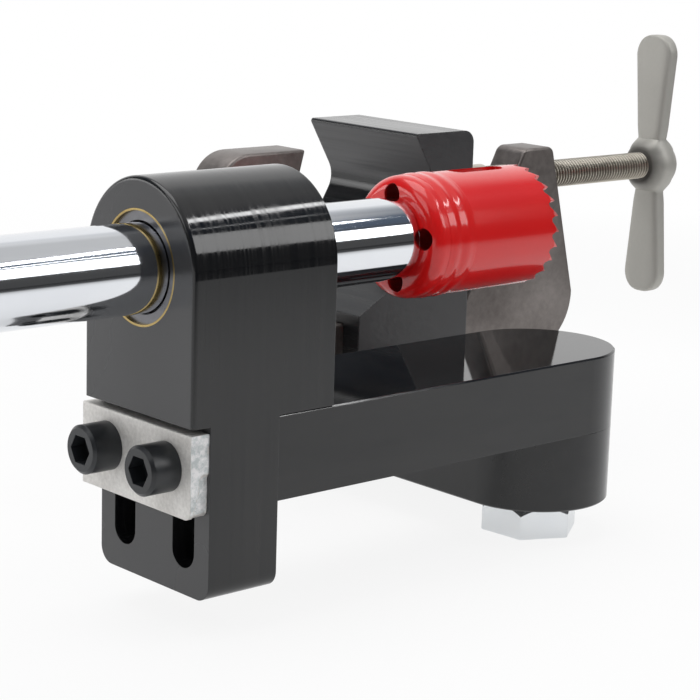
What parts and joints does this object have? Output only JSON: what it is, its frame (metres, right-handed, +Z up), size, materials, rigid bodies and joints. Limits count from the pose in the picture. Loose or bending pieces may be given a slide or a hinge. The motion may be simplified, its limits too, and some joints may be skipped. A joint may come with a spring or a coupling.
{
  "type": "tube notcher",
  "caption": "Bench tube notcher: a hole saw on a plated spindle slides in an arched housing on a swinging arm, past a vee block with a screw-drawn hook clamp.",
  "frame": {"origin": "on the pivot axis, level with the flat top face of the upper, swinging arm", "axes": "+X along the spindle from the drill end towards the hole saw, +Y along the lower arm from the pivot towards the vee block and the vise tang, +Z up along the pivot axis"},
  "size_m": [0.4156, 0.1854, 0.1539],
  "materials": {
    "black_anodised": "satin black anodised",
    "plated_bar": "mirror",
    "black_oxide": "black oxide",
    "zinc_steel": "bright zinc",
    "bare_steel": "sawn and ground",
    "bearing_steel": "ground",
    "brass_ring": "satin",
    "red_paint": "gloss",
    "frame_steel": "dark as-cut",
    "screw_steel": "as rolled",
    "handle_steel": "forged satin"
  },
  "bodies": {
    "base": {"lower_arm": "black_anodised", "vee_block": "black_anodised", "vee_block_screws": "black_oxide", "clamp_pad": "bare_steel"},
    "swing_arm": {"upper_arm": "black_anodised", "pivot_bolt": "zinc_steel", "clamp_plate": "bare_steel", "housing_screws": "black_oxide"},
    "housing": {"spindle_housing": "black_anodised", "drill_side_bearing_cup": "bearing_steel", "drill_side_bearing_ring": "brass_ring", "saw_side_bearing_cup": "bearing_steel", "saw_side_bearing_ring": "brass_ring"},
    "bearing_rollers": {"drill_side_bearing_cage": "bearing_steel", "drill_side_bearing_needles": "bearing_steel", "saw_side_bearing_cage": "bearing_steel", "saw_side_bearing_needles": "bearing_steel"},
    "spindle": {"spindle_shaft": "plated_bar", "hole_saw_base": "red_paint", "hole_saw_cup": "red_paint"},
    "clamp_screw_and_handle": {"clamp_screw": "screw_steel", "wing_handle": "handle_steel"},
    "tube_clamp_frame": {"clamp_frame": "frame_steel"}
  },
  "joints": [
    {"name": "arm_swing", "type": "hinge", "parent": "base", "child": "swing_arm", "pos_m": [0, 0, 0], "axis": [0, 0, 1], "range_deg": [-10, 60]},
    {"name": "housing_height", "type": "slide", "parent": "swing_arm", "child": "housing", "axis": [0, 0, 1], "range_m": [0, 0.025]},
    {"name": "spindle_spin", "type": "hinge", "parent": "housing", "child": "bearing_rollers", "pos_m": [-0.1366, 0, 0.041], "axis": [1, 0, 0], "continuous": true},
    {"name": "spindle_feed", "type": "slide", "parent": "bearing_rollers", "child": "spindle", "axis": [1, 0, 0], "range_m": [-0.044, 0.04]},
    {"name": "clamp_turn", "type": "hinge", "parent": "base", "child": "clamp_screw_and_handle", "pos_m": [0.1, 0.0785, 0.041], "axis": [1, 0, 0], "range_deg": [-6480, 1440]},
    {"name": "clamp_close", "type": "slide", "parent": "base", "child": "tube_clamp_frame", "axis": [1, 0, 0], "range_m": [-0.0061, 0.0271]}
  ],
  "couplings": [
    {"joint": "clamp_close", "follows": "clamp_turn", "m_per_rad": -0.00023873}
  ]
}
